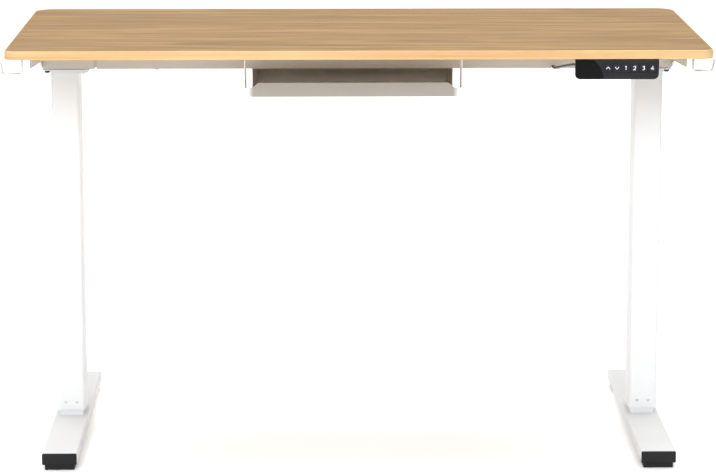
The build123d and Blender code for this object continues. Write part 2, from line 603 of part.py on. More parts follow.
def cable_clip(points, index, share, screw_place):
    """A saddle clip round a cable, with a tab screwed up into the desktop."""
    a, b = Vector(*points[index]), Vector(*points[index + 1])
    centre = a + (b - a) * share
    saddle = Pos(centre.X, centre.Y, centre.Z) * Box(8, 8, 8)
    x, y, seat = screw_place
    post = block(
        min(centre.X, x) - 4, max(centre.X, x) + 4, min(centre.Y, y) - 4, max(centre.Y, y) + 4,
        seat, UNDERSIDE,
    )
    riser = block(centre.X - 4, centre.X + 4, centre.Y - 4, centre.Y + 4, centre.Z, UNDERSIDE)
    bore = Plane(origin=centre, z_dir=b - a) * Cylinder(CABLE_RADIUS + CLIP_GAP, 30)
    tip_relief = rod_z(x, y, seat - 20, seat, WOOD_HEAD + 0.2)
    return saddle + riser + post - bore - rod_z(x, y, seat - 1, UNDERSIDE + 1, WOOD_SHANK) - tip_relief


# ---- cable tray ----
def cable_tray():
    """A folded sheet tray with an open window at each end and hangers up to the desktop."""
    front_half, back_half = TRAY_FRONT_WIDTH / 2, TRAY_BACK_WIDTH / 2
    floor = Pos(0, 0, TRAY_BOTTOM) * extrude(
        make_face(
            Polyline(
                (-front_half, TRAY_FRONT), (front_half, TRAY_FRONT),
                (back_half, TRAY_BACK), (-back_half, TRAY_BACK), close=True,
            )
        ),
        TRAY_SHEET,
    )
    low, high = TRAY_BOTTOM + TRAY_LIP, TRAY_BOTTOM + TRAY_LIP_MIDDLE
    lip = Polyline(
        (-front_half, TRAY_BOTTOM), (-front_half, low), (-LIP_SHOULDER, low), (-LIP_FLAT, high),
        (LIP_FLAT, high), (LIP_SHOULDER, low), (front_half, low), (front_half, TRAY_BOTTOM), close=True,
    )
    tray = floor + Pos(0, TRAY_FRONT, 0) * extrude(Plane.XZ * make_face(lip), -TRAY_SHEET)
    tray += block(-back_half, back_half, TRAY_BACK - TRAY_SHEET, TRAY_BACK, TRAY_BOTTOM, UNDERSIDE)
    tray += block(-back_half, back_half, TRAY_BACK - 14, TRAY_BACK, UNDERSIDE - TRAY_SHEET, UNDERSIDE)
    for side in (-1, 1):
        tray += tray_end(side, front_half, back_half)
    count = int((TRAY_FRONT_WIDTH - 40) // SLOT_PITCH)
    for i in range(count):
        x = (i - (count - 1) / 2) * SLOT_PITCH
        slot = SlotOverall(SLOT_LENGTH, SLOT_WIDTH)
        tray -= Pos(x, TRAY_FRONT + 5, TRAY_BOTTOM - 1) * extrude(slot, TRAY_SHEET + 2)
    tray = Pos(TRAY_CENTRE, 0, 0) * tray
    for x, y, _ in TRAY_SCREWS:
        tray -= rod_z(x, y, UNDERSIDE - 5, UNDERSIDE + 1, WOOD_SHANK)
    return tray


def tray_end(side, front_half, back_half):
    """One end wall: a strap at the front, open to the floor behind it, and full height at the back."""
    run = TRAY_BACK - TRAY_FRONT
    flare = math.degrees(math.atan2(front_half - back_half, run))
    length = math.hypot(front_half - back_half, run)
    low, middle = TRAY_BOTTOM + TRAY_SHEET, BEAM_BOTTOM - 6
    stretch = length / run
    beam_front, beam_back = (6 - TRAY_FRONT) * stretch, (BEAM_HALF + 2 - TRAY_FRONT) * stretch
    outline = Polyline(
        (0, TRAY_BOTTOM), (length, TRAY_BOTTOM), (length, UNDERSIDE), (beam_back, UNDERSIDE),
        (beam_back, middle), (beam_front, middle), (beam_front, low), (TRAY_STRAP, low),
        (TRAY_STRAP, UNDERSIDE), (0, UNDERSIDE), close=True,
    )
    wall = extrude(Plane.YZ * make_face(outline), -TRAY_SHEET)
    tab = block(-15, 0, 0, TRAY_TAB + 1, UNDERSIDE - TRAY_SHEET, UNDERSIDE)
    end = Pos(front_half, TRAY_FRONT, 0) * Rot(0, 0, flare) * (wall + tab)
    end = end & block(0, front_half + 1, TRAY_FRONT, TRAY_BACK, TRAY_BOTTOM, UNDERSIDE)
    return end if side > 0 else mirrored(end)


# ---- hooks ----
def hook(y):
    """A flat-strip hook that hangs from the desktop's underside and turns up past its edge."""
    half = HOOK_SHEET / 2
    centre_line = FilletPolyline(
        (HOOK_ARM + 24, UNDERSIDE - half), (HOOK_ARM, UNDERSIDE - half), (HOOK_ARM, HOOK_LOW),
        (HOOK_REACH, HOOK_LOW), (HOOK_REACH + 4, HOOK_LOW + 20), radius=[2.5, 3.0, 3.0],
    )
    strip = trace(centre_line, HOOK_SHEET)
    hanger = Pos(0, y + HOOK_WIDTH / 2, 0) * extrude(Plane.XZ * strip, HOOK_WIDTH)
    for screw_x, screw_y, _ in HOOK_SCREWS:
        hanger -= rod_z(abs(screw_x), screw_y, UNDERSIDE - 5, UNDERSIDE + 1, WOOD_SHANK)
    return hanger


# ---- handset ----
def handset_section(inset):
    """The handset's side outline in Y and Z, shrunk by an inset."""
    front, back = HANDSET_FRONT + inset, HANDSET_BACK - inset
    low, high = HANDSET_BOTTOM + inset, UNDERSIDE - inset
    return make_face(
        Polyline((front, high), (front, low), (front + 22, low), (back, low + 10), (back, high), close=True)
    )


def key_places():
    return [(name, KEY_START + i * KEY_PITCH) for i, name in enumerate(KEY_NAMES)]


def window_outline():
    """The glossy end of the handset's face: a rounded corner, and an arc towards the keys."""
    margin = 0.6
    corner = HANDSET_CORNER - margin
    left, low, high = HANDSET_LEFT + margin, HANDSET_BOTTOM + margin, UNDERSIDE - margin
    bend = corner * (1 - math.sqrt(0.5))
    edge = Line((left, high), (left, low + corner))
    edge += ThreePointArc((left, low + corner), (left + bend, low + bend), (left + corner, low))
    edge += Line((left + corner, low), (WINDOW_LOW_X, low))
    middle = (WINDOW_MIDDLE_X, HANDSET_BOTTOM + 18.5)
    edge += ThreePointArc((WINDOW_LOW_X, low), middle, (WINDOW_HIGH_X, high))
    edge += Line((WINDOW_HIGH_X, high), (left, high))
    return make_face(edge)


def on_front(face, depth):
    """Extrude a face drawn in X and Z backwards from the handset's front."""
    return Pos(0, HANDSET_FRONT, 0) * extrude(Plane.XZ * face, -depth)


def handset_plan(inset, front, back):
    """A prism as wide as the handset, narrowing towards its back."""
    near, far = inset, inset + HANDSET_TAPER
    plan = Polyline(
        (HANDSET_LEFT + near, front), (HANDSET_RIGHT - near, front),
        (HANDSET_RIGHT - far, back), (HANDSET_LEFT + far, back), close=True,
    )
    return Pos(0, 0, HANDSET_BOTTOM) * extrude(make_face(plan), HANDSET_HEIGHT - inset)


def handset_housing():
    shell = Pos(HANDSET_LEFT, 0, 0) * extrude(Plane.YZ * handset_section(0), HANDSET_RIGHT - HANDSET_LEFT)
    shell &= handset_plan(0, HANDSET_FRONT, HANDSET_BACK)
    low_corners = shell.edges().filter_by(Axis.Y, tolerance=25).filter_by_position(
        Axis.Z, HANDSET_BOTTOM - 1, HANDSET_BOTTOM + 1
    )
    shell = fillet(low_corners, HANDSET_CORNER)
    hollow = Pos(HANDSET_LEFT, 0, 0) * extrude(
        Plane.YZ * handset_section(HANDSET_WALL), HANDSET_RIGHT - HANDSET_LEFT
    )
    hollow &= handset_plan(3, HANDSET_FRONT + 3.5, HANDSET_BACK - 2)
    hollow &= block(
        HANDSET_LEFT, HANDSET_RIGHT, HANDSET_FRONT, HANDSET_BACK, HANDSET_BOTTOM + 5, UNDERSIDE - 2
    )
    shell -= hollow
    for _, x in key_places():
        shell -= block(
            x - KEY_WIDTH / 2 - KEY_GAP, x + KEY_WIDTH / 2 + KEY_GAP, HANDSET_FRONT - 1, HANDSET_FRONT + 4,
            KEY_Z - KEY_HEIGHT / 2 - KEY_GAP, KEY_Z + KEY_HEIGHT / 2 + KEY_GAP,
        )
    shell -= on_front(window_outline(), 1.0)
    ears = Part()
    for x, y, seat in HANDSET_SCREWS:
        ears += block(x - 8, x + 8, HANDSET_BACK - 1, HANDSET_BACK + 14, seat, UNDERSIDE)
    shell += ears
    for x, y, seat in HANDSET_SCREWS:
        shell -= rod_z(x, y, seat - 1, UNDERSIDE + 1, WOOD_SHANK)
    return shell


def handset_window():
    return on_front(window_outline(), 1.0)


def handset_board():
    board = block(HANDSET_LEFT + 7, HANDSET_RIGHT - 7, -293.0, -291.4, HANDSET_BOTTOM + 6, UNDERSIDE - 4)
    display = block(HANDSET_LEFT + 9, HANDSET_LEFT + 34, -296.4, -292.9, KEY_Z - 9, KEY_Z + 9)
    switches = Part()
    for _, x in key_places():
        switches += block(x - 3, x + 3, -294.0, -292.9, KEY_Z - 3, KEY_Z + 3)
    return board + display + switches


def key_cap(x):
    """A key that sits in its window of the handset's face and travels inwards."""
    front = HANDSET_FRONT + 0.15
    cap = block(
        x - KEY_WIDTH / 2, x + KEY_WIDTH / 2, front, HANDSET_FRONT + 5.2,
        KEY_Z - KEY_HEIGHT / 2, KEY_Z + KEY_HEIGHT / 2,
    )
    cap = fillet(cap.edges().filter_by(Axis.Y), 1.2)
    return fillet(cap.faces().sort_by(Axis.Y)[0].edges(), 0.3)


# ---- writing the parts ----
def pair(name, shape, pieces):
    pieces["right_" + name] = shape
    pieces["left_" + name] = mirrored(shape)


def both(name, shape, pieces):
    """Two mirror-image pieces kept in one node."""
    pieces[name] = Compound(children=[shape, mirrored(shape)])


def screw_sets(pieces):
    pieces["wood_screws"] = Compound(children=[wood_screw(*place) for place in WOOD_SCREWS])
    bolts = []
    for dx, dy in COLUMN_BOLTS:
        seat = PLATE_TOP - LUG_SHEET if dx > 0 else OUTER_TOP
        bolts.append(Pos(LEG_X + dx, dy, seat) * dome_bolt())
    bolts += [Pos(END_FINISH + BRACKET_SHEET, y, z) * Rot(0, -90, 0) * dome_bolt() for y, z in BRACKET_BOLTS]
    bolts += [mirrored(bolt) for bolt in bolts]
    pieces["frame_bolts"] = Compound(children=bolts)
    joints = [Pos(RAIL_JOINT_X, y, BEAM_BOTTOM) * small_screw() for y in (-RAIL_JOINT_Y, RAIL_JOINT_Y)]
    joints += [mirrored(joint) for joint in joints]
    joints += [
        Pos(MOTOR_X + dx, BEAM_HALF + 8, SHAFT_Z + dz) * Rot(90, 0, 0) * small_screw()
        for dx, dz in MOTOR_SCREWS
    ]
    pieces["machine_screws"] = Compound(children=joints)
    feet = [Pos(LEG_X + dx, dy, FOOT_TOP - FOOT_WALL) * foot_bolt() for dx, dy in FOOT_BOLTS]
    feet += [mirrored(bolt) for bolt in feet]
    pieces["foot_bolts"] = Compound(children=feet)
    glides = []
    for dx in (-GLIDE_SCREW_X, GLIDE_SCREW_X):
        for side in (-1, 1):
            place = Pos(LEG_X + dx, side * OUTER_DEPTH / 2, GLIDE_SCREW_Z) * Rot(side * 90, 0, 0)
            glides.append(place * screw(GLIDE_SHANK, GLIDE_HEAD, GLIDE_HEAD_HEIGHT, GLIDE_LENGTH))
    glides += [mirrored(glide) for glide in glides]
    pieces["glide_screws"] = Compound(children=glides)


def foot_bolt():
    return screw(BOLT_SHANK, BOLT_HEAD, BOLT_HEAD_HEIGHT, 10.0)


def build():
    pieces = {"desktop": desktop(), "desktop_edge_band": edge_band(), "crossbeam_rail": crossbeam_rail()}
    pieces["right_beam_end"] = beam_end(True)
    pieces["left_beam_end"] = mirrored(beam_end(False))
    pair("side_bracket", side_bracket(), pieces)
    pair("column_flange", column_flange(), pieces)
    pair("outer_tube", outer_tube(), pieces)
    pair("inner_tube", inner_tube(), pieces)
    pair("foot", foot(), pieces)
    pair("spindle", spindle(), pieces)
    pair("gearbox", gearbox(), pieces)
    pair("spindle_gear", spindle_gear(), pieces)
    pair("shaft_gear", shaft_gear(), pieces)
    pieces["right_hook"] = hook(RIGHT_HOOK_Y)
    pieces["left_hook"] = mirrored(hook(LEFT_HOOK_Y))
    both("lower_glides", lower_glide(), pieces)
    both("upper_glides", upper_glide(), pieces)
    both("leg_base_plates", base_plate(), pieces)
    both("spindle_nuts", spindle_nut(), pieces)
    both("spindle_bearings", spindle_bearing(), pieces)
    caps = [foot_cap(-1), foot_cap(1)]
    pieces["foot_end_caps"] = Compound(children=caps + [mirrored(cap) for cap in caps])
    for place, y in zip(("front", "back"), pad_places()):
        pad = levelling_foot(y)
        pieces["right_" + place + "_levelling_foot"] = pad
        pieces["left_" + place + "_levelling_foot"] = mirrored(pad)
    pieces["cross_shaft"] = cross_shaft()
    pieces["motor_drive_gear"] = motor_drive_gear()
    pieces["motor_housing"] = motor_housing()
    pieces["motor_rotor"] = motor_rotor()
    pieces["control_box_housing"] = control_box()
    pieces["control_board"] = control_board()
    pieces["mains_inlet"] = mains_inlet()
    pieces["handset_cable"] = cable(HANDSET_CABLE, "handset cable")
    pieces["motor_cable"] = cable(MOTOR_CABLE, "motor cable")
    handset_clip = cable_clip(HANDSET_CABLE, 1, 0.3, CLIP_SCREWS[0])
    motor_clip = cable_clip(MOTOR_CABLE, 3, 0.5, CLIP_SCREWS[1])
    pieces["cable_clips"] = Compound(children=[handset_clip, motor_clip])
    pieces["cable_tray"] = cable_tray()
    pieces["handset_housing"] = handset_housing()
    pieces["handset_window"] = handset_window()
    pieces["handset_board"] = handset_board()
    for name, x in key_places():
        pieces[name] = key_cap(x)
    screw_sets(pieces)
    return pieces


os.makedirs("parts", exist_ok=True)
for node, shape in build().items():
    export_step(shape, f"parts/{node}.step")
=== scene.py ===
import json
import math

import bmesh
import bpy
from mathutils import Matrix, Vector


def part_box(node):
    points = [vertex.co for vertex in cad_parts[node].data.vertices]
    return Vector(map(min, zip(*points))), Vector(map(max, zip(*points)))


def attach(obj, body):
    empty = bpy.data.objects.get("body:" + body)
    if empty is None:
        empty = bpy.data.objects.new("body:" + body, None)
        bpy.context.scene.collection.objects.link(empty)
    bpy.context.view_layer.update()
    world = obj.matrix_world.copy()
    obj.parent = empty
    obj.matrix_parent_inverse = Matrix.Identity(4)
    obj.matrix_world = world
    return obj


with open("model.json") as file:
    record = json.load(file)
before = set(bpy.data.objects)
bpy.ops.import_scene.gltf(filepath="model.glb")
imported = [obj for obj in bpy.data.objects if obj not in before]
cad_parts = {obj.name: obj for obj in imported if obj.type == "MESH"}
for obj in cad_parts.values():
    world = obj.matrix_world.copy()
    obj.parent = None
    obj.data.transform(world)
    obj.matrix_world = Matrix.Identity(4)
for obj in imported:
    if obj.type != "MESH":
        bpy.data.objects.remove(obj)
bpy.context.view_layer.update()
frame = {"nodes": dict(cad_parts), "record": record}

scene = bpy.context.scene
scene.view_settings.view_transform = "Standard"

CAMERA_PLACE = (-0.0715, -5.0831, 1.3779)
CAMERA_DOWN, CAMERA_ROLL_Z = 0.1988, -0.0144
WHITE = (0.75, 0.765, 0.775)
BLACK_BOLTS_FROM = 0.515
TRAY_MIDDLE_X = -0.008
WORLD_FRONT, WORLD_BACK = 0.20, 0.90
KEY_POWER, OVERHEAD_POWER = 310.0, 230.0
PRINT_STROKE, PRINT_THICKNESS = 0.00095, 0.00006
ARROW_HALF_WIDTH, ARROW_HALF_HEIGHT, DIGIT_HEIGHT = 0.0034, 0.0018, 0.0064


# ---- camera ----
def make_camera():
    """Just left of the desk's middle, five metres in front, looking a little down."""
    data = bpy.data.cameras.new("camera")
    data.lens = 143.75
    data.sensor_width = 36.0
    data.clip_end = 60.0
    camera = bpy.data.objects.new("camera", data)
    scene.collection.objects.link(camera)
    camera.location = CAMERA_PLACE
    camera.rotation_euler = (math.pi / 2 - CAMERA_DOWN, 0.0, CAMERA_ROLL_Z)
    scene.camera = camera


make_camera()


# ---- material helpers ----
class Nodes:
    """A short way to build one material's node tree."""

    def __init__(self, name):
        self.material = bpy.data.materials.new(name)
        self.material.use_nodes = True
        self.tree = self.material.node_tree
        self.shader = self.tree.nodes["Principled BSDF"]

    def add(self, kind, **inputs):
        node = self.tree.nodes.new(kind)
        for key, value in inputs.items():
            self.put(node.inputs[key.replace("_", " ")], value)
        return node

    def put(self, socket, value):
        if isinstance(value, bpy.types.NodeSocket):
            self.tree.links.new(value, socket)
        else:
            socket.default_value = value

    def set(self, **inputs):
        for key, value in inputs.items():
            self.put(self.shader.inputs[key.replace("_", " ")], value)

    def place(self, scale):
        """Object coordinates in metres, stretched by a scale along each axis."""
        coords = self.add("ShaderNodeTexCoord")
        mapping = self.add("ShaderNodeMapping", Vector=coords.outputs["Object"], Scale=scale)
        return mapping.outputs["Vector"]

    def noise(self, scale, size=1.0, detail=4.0, roughness=0.55, distortion=0.0):
        node = self.add(
            "ShaderNodeTexNoise", Vector=self.place(scale), Scale=size, Detail=detail,
            Roughness=roughness, Distortion=distortion,
        )
        return node.outputs["Fac"]

    def ramp(self, value, stops):
        node = self.add("ShaderNodeValToRGB", Fac=value)
        elements = node.color_ramp.elements
        while len(elements) < len(stops):
            elements.new(0.5)
        for element, (place, colour) in zip(elements, stops):
            element.position = place
            element.color = (*colour, 1.0)
        return node.outputs["Color"]

    def grey(self, value, low, high, out_low=0.0, out_high=1.0):
        node = self.add("ShaderNodeMapRange", Value=value)
        for index, number in zip((1, 2, 3, 4), (low, high, out_low, out_high)):
            node.inputs[index].default_value = number
        return node.outputs["Result"]

    def mix(self, factor, a, b):
        node = self.tree.nodes.new("ShaderNodeMix")
        node.data_type = "RGBA"
        self.put(node.inputs[0], factor)
        self.put(node.inputs[6], a)
        self.put(node.inputs[7], b)
        return node.outputs[2]

    def maths(self, operation, a, b):
        node = self.tree.nodes.new("ShaderNodeMath")
        node.operation = operation
        self.put(node.inputs[0], a)
        self.put(node.inputs[1], b)
        return node.outputs[0]

    def bump(self, height, distance, strength=1.0):
        node = self.add("ShaderNodeBump", Height=height, Distance=distance, Strength=strength)
        self.put(self.shader.inputs["Normal"], node.outputs["Normal"])


def srgb(code):
    """A hex colour as linear numbers."""
    values = [int(code[i:i + 2], 16) / 255 for i in (0, 2, 4)]
    return tuple(v / 12.92 if v <= 0.04045 else ((v + 0.055) / 1.055) ** 2.4 for v in values)


# ---- wood ----
def oak_top():
    """Light oak decor: fine long grain along X, soft cathedral bands and short dark pores."""
    m = Nodes("oak_top")
    broad = m.noise((0.55, 5.0, 5.0), 1.0, 3.0, 0.5, 0.6)
    bands = m.noise((2.2, 30.0, 30.0), 1.0, 5.0, 0.68, 1.1)
    fine = m.noise((7.0, 160.0, 160.0), 1.0, 4.0, 0.65, 0.4)
    hair = m.noise((14.0, 700.0, 700.0), 1.0, 2.0, 0.5)
    tone = m.maths("ADD", m.maths("MULTIPLY", bands, 0.50), m.maths("MULTIPLY", fine, 0.35))
    tone = m.maths("ADD", tone, m.maths("MULTIPLY", broad, 0.15))
    base = m.ramp(tone, [
        (0.37, srgb("644A2A")), (0.44, srgb("775A36")), (0.52, srgb("866841")), (0.61, srgb("9A7D53")),
    ])
    pores = m.grey(m.noise((7.0, 520.0, 520.0), 1.0, 2.0, 0.4), 0.60, 0.70)
    streak = m.grey(bands, 0.35, 0.60, 1.0, 0.35)
    pore_mask = m.maths("MULTIPLY", m.maths("MULTIPLY", pores, streak), 0.34)
    colour = m.mix(pore_mask, base, (*srgb("5C432A"), 1.0))
    colour = m.mix(m.grey(hair, 0.3, 0.7, 0.0, 0.22), colour, (*srgb("9A845F"), 1.0))
    level = m.add("ShaderNodeSeparateXYZ", Vector=m.place((1.0, 1.0, 1.0))).outputs["Z"]
    colour = m.mix(m.grey(level, 0.7185, 0.7195, 0.55, 0.0), colour, (*srgb("E8C08A"), 1.0))
    m.set(Base_Color=colour, Roughness=m.grey(fine, 0.3, 0.7, 0.50, 0.62), Specular_IOR_Level=0.14)
    height = m.maths("SUBTRACT", m.maths("MULTIPLY", fine, 0.6), m.maths("MULTIPLY", pores, 0.8))
    m.bump(height, 0.00006, 0.6)
    return m.material


def oak_edge():
    """The edge band's decor: straight grain in thin layers round the board."""
    m = Nodes("oak_edge")
    layers = m.noise((1.4, 1.4, 420.0), 1.0, 3.0, 0.55, 0.3)
    drift = m.noise((2.2, 2.2, 60.0), 1.0, 3.0, 0.5, 0.4)
    flecks = m.noise((30.0, 30.0, 900.0), 1.0, 2.0, 0.5)
    tone = m.maths("ADD", m.maths("MULTIPLY", layers, 0.5), m.maths("MULTIPLY", drift, 0.35))
    tone = m.maths("ADD", tone, m.maths("MULTIPLY", flecks, 0.15))
    colour = m.ramp(tone, [
        (0.38, srgb("BD9560")), (0.47, srgb("CAA56F")), (0.55, srgb("D3B07C")), (0.66, srgb("DBBB8C")),
    ])
    patch = m.grey(m.noise((5.0, 5.0, 90.0), 1.0, 3.0, 0.55, 0.5), 0.42, 0.62)
    colour = m.mix(m.maths("MULTIPLY", patch, 0.4), colour, (*srgb("CF9F72"), 1.0))
    m.set(Base_Color=colour, Roughness=m.grey(flecks, 0.3, 0.7, 0.40, 0.54), Specular_IOR_Level=0.35)
    m.bump(m.maths("MULTIPLY", flecks, 0.5), 0.00005, 0.5)
    return m.material


# ---- metal ----
def powder_coat(name, colour, peel=0.5):
    """Satin powder coating: a fine orange-peel texture and a slightly uneven gloss."""
    m = Nodes(name)
    peel_height = m.noise((1.0, 1.0, 1.0), 900.0, 2.0, 0.5)
    cloud = m.noise((1.0, 1.0, 1.0), 9.0, 3.0, 0.5)
    low = tuple(c * 0.965 for c in colour)
    tint = m.ramp(cloud, [(0.35, low), (0.65, colour)])
    m.set(Base_Color=tint, Roughness=m.grey(peel_height, 0.3, 0.7, 0.42, 0.54), Specular_IOR_Level=0.3)
    m.bump(peel_height, 0.00004, peel)
    return m.material


def painted_shade_foot_coat():
    """Powder coating of the feet with painted shade: a darker copy of the frame's white, a little greyer
    towards their back ends as painted shade under the desktop.
    """
    m = Nodes("white_foot_painted_shade")
    peel_height = m.noise((1.0, 1.0, 1.0), 900.0, 2.0, 0.5)
    cloud = m.noise((1.0, 1.0, 1.0), 9.0, 3.0, 0.5)
    place = m.add("ShaderNodeSeparateXYZ", Vector=m.place((1.0, 1.0, 1.0)))
    # painted shade: the feet's front colour is a darker copy of the frame's white coat
    front = m.ramp(cloud, [(0.35, (0.70, 0.715, 0.73)), (0.65, (0.72, 0.735, 0.75))])
    # painted shade under the desktop: the colour greys towards the feet's back ends
    colour = m.mix(m.grey(place.outputs["Y"], -0.15, 0.25), front, (0.60, 0.612, 0.625, 1.0))
    m.set(Base_Color=colour, Roughness=m.grey(peel_height, 0.3, 0.7, 0.42, 0.54), Specular_IOR_Level=0.3)
    m.bump(peel_height, 0.00004, 0.5)
    return m.material


def painted_light_tray_coat():
    """Powder coating of the tray with painted light: painted shade greys the front lip, a painted
    highlight lightens its ends, and painted warm light lightens it towards the back wall.
    """
    m = Nodes("white_tray_painted_light")
    peel_height = m.noise((1.0, 1.0, 1.0), 900.0, 2.0, 0.5)
    cloud = m.noise((1.0, 1.0, 1.0), 9.0, 3.0, 0.5)
    place = m.add("ShaderNodeSeparateXYZ", Vector=m.place((1.0, 1.0, 1.0)))
    # painted shade: the lip's grey stands in for the shade under the desktop
    lip_painted_shade = m.ramp(cloud, [(0.35, (0.375, 0.362, 0.33)), (0.65, (0.39, 0.377, 0.345))])
    off_centre = m.maths("ABSOLUTE", m.maths("ADD", place.outputs["X"], -TRAY_MIDDLE_X), 0.0)
    # painted highlight: the tray's ends turn a bright bluish white
    colour = m.mix(m.grey(off_centre, 0.176, 0.186), lip_painted_shade, (0.95, 0.97, 1.0, 1.0))
    # painted warm light: lighter and warmer towards the back wall
    colour = m.mix(m.grey(place.outputs["Y"], -0.097, 0.05), colour, (0.97, 0.88, 0.78, 1.0))
    m.set(Base_Color=colour, Roughness=m.grey(peel_height, 0.3, 0.7, 0.42, 0.54), Specular_IOR_Level=0.3)
    m.bump(peel_height, 0.00004, 0.5)
    return m.material


def machined_steel(name, colour, rough, stretch):
    """Bright metal with fine turning or drawing marks along one axis."""
    m = Nodes(name)
    marks = m.noise(stretch, 1.0, 3.0, 0.6)
    cloud = m.noise((1.0, 1.0, 1.0), 60.0, 3.0, 0.6)
    low = tuple(c * 0.8 for c in colour)
    m.set(
        Base_Color=m.ramp(cloud, [(0.3, low), (0.7, colour)]), Metallic=1.0,
        Roughness=m.grey(marks, 0.25, 0.75, rough - 0.08, rough + 0.12),
    )
    m.bump(marks, 0.00003, 0.4)
    return m.material


def bolt_finish():
    """Black bolts outside the columns; the ones inside them are coated with the frame."""
    m = Nodes("black_bolt")
    grain = m.noise((1.0, 1.0, 1.0), 700.0, 3.0, 0.6)
    place = m.add("ShaderNodeSeparateXYZ", Vector=m.place((1.0, 1.0, 1.0)))
    across = m.maths("ABSOLUTE", place.outputs["X"], 0.0)
    dark = m.ramp(grain, [(0.3, (0.018, 0.018, 0.02)), (0.7, (0.032, 0.032, 0.035))])
    m.set(
        Base_Color=m.mix(m.grey(across, BLACK_BOLTS_FROM, BLACK_BOLTS_FROM + 0.01), (*WHITE, 1.0), dark),
        Roughness=m.grey(grain, 0.3, 0.7, 0.34, 0.5), Specular_IOR_Level=0.4,
    )
    return m.material


def cast_aluminium():
    m = Nodes("gear_housing")
    grain = m.noise((1.0, 1.0, 1.0), 1400.0, 3.0, 0.6)
    cloud = m.noise((1.0, 1.0, 1.0), 35.0, 3.0, 0.6)
    m.set(
        Base_Color=m.ramp(cloud, [(0.3, (0.46, 0.46, 0.47)), (0.7, (0.60, 0.60, 0.61))]), Metallic=1.0,
        Roughness=m.grey(grain, 0.25, 0.75, 0.42, 0.62),
    )
    m.bump(grain, 0.00008, 0.7)
    return m.material


# ---- plastic ----
def moulded(name, colour, rough, grain_size=1500.0, depth=0.00005, lift=1.35, level=0.45):
    """Moulded plastic: spark-eroded grain, with a faint uneven tone."""
    m = Nodes(name)
    grain = m.noise((1.0, 1.0, 1.0), grain_size, 3.0, 0.6)
    cloud = m.noise((1.0, 1.0, 1.0), 25.0, 3.0, 0.5)
    high = tuple(min(1.0, c * lift) for c in colour)
    m.set(
        Base_Color=m.ramp(cloud, [(0.3, colour), (0.7, high)]),
        Roughness=m.grey(grain, 0.3, 0.7, rough - 0.06, rough + 0.08), Specular_IOR_Level=level,
    )
    m.bump(grain, depth, 0.6)
    return m.material


def display_glass():
    """The handset's gloss window: near black, very smooth, with faint smears."""
    m = Nodes("handset_glass")
    smear = m.noise((1.0, 1.0, 1.0), 45.0, 4.0, 0.6, 0.5)
    m.set(
        Base_Color=m.ramp(smear, [(0.3, (0.0015, 0.0015, 0.0018)), (0.7, (0.003, 0.003, 0.0035))]),
        Roughness=m.grey(smear, 0.3, 0.7, 0.08, 0.14), Specular_IOR_Level=0.12,
    )
    return m.material


def circuit_board():
    m = Nodes("circuit_board")
    tracks = m.add("ShaderNodeTexVoronoi", Vector=m.place((1.0, 1.0, 1.0)), Scale=260.0)
    mask = m.grey(tracks.outputs["Distance"], 0.12, 0.2, 1.0, 0.0)
    m.set(
        Base_Color=m.mix(mask, (0.012, 0.10, 0.04, 1.0), (0.45, 0.42, 0.32, 1.0)),
        Roughness=m.grey(mask, 0.0, 1.0, 0.45, 0.3),
    )
    return m.material


def printed_ink():
    m = Nodes("key_print")
    wear = m.noise((1.0, 1.0, 1.0), 900.0, 2.0, 0.5)
    m.set(Base_Color=m.ramp(wear, [(0.3, (0.78, 0.79, 0.82)), (0.7, (0.90, 0.91, 0.93))]), Roughness=0.5)
    return m.material


MATERIALS = {
    "oak_top": oak_top(),
    "oak_edge": oak_edge(),
    "white_frame": powder_coat("white_frame", WHITE),
    "black_moulding": moulded("black_moulding", srgb("121214"), 0.55, level=0.3),
    "glide_plastic": moulded("glide_plastic", srgb("D8D8D2"), 0.45, 900.0),
    "bright_steel": machined_steel("bright_steel", (0.62, 0.62, 0.63), 0.28, (900.0, 900.0, 60.0)),
    "zinc_fastener": machined_steel("zinc_fastener", (0.72, 0.72, 0.73), 0.24, (500.0, 500.0, 500.0)),
    "black_bolt": bolt_finish(),
    "gear_housing": cast_aluminium(),
    "circuit_board": circuit_board(),
    "cable_jacket": moulded("cable_jacket", (0.012, 0.012, 0.013), 0.45, 2500.0, 0.00003),
    "handset_shell": moulded("handset_shell", srgb("1B1B1E"), 0.45, level=0.2),
    "handset_glass": display_glass(),
    "handset_key": moulded("handset_key", srgb("1C1C20"), 0.44, 1800.0, 0.00003, 1.2, level=0.2),
}

# coats with painted light: darker copies of the white coat as painted shade, and the tray's painted
# highlight and painted warm light
PAINTED_LIGHT_COAT = {
    "cable_tray": painted_light_tray_coat(),
    "left_foot": painted_shade_foot_coat(),
    # painted shade: the crossbeam, its ends and the side brackets get a greyer, warmer copy of the white
    # coat
    "crossbeam_rail": powder_coat("white_beam_painted_shade", (0.57, 0.545, 0.505)),
}
PAINTED_LIGHT_COAT["right_foot"] = PAINTED_LIGHT_COAT["left_foot"]
PAINTED_LIGHT_COAT["left_beam_end"] = PAINTED_LIGHT_COAT["right_beam_end"] = PAINTED_LIGHT_COAT["crossbeam_rail"]
PAINTED_LIGHT_COAT["left_side_bracket"] = PAINTED_LIGHT_COAT["right_side_bracket"] = PAINTED_LIGHT_COAT["crossbeam_rail"]


def paint_cad():
    """Give every CAD node its slot's material; some coated pieces get instead a copy of the white coat
    with painted shade and painted light.
    """
    for row in frame["record"]["subparts"]:
        node = frame["nodes"][row["node"]]
        node.data.materials.clear()
        node.data.materials.append(PAINTED_LIGHT_COAT.get(row["node"], MATERIALS[row["material_slot"]]))


paint_cad()


# ---- handset printing ----
KEYS = ["key_up", "key_down", "key_1", "key_2", "key_3", "key_4"]


def fitting(name, build, material, body="lift"):
    """Turn a finished bmesh into a piece that rides on a body."""
    mesh = bpy.data.meshes.new(name)
    build.to_mesh(mesh)
    build.free()
    piece = bpy.data.objects.new(name, mesh)
    scene.collection.objects.link(piece)
    mesh.materials.append(material)
    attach(piece, body)


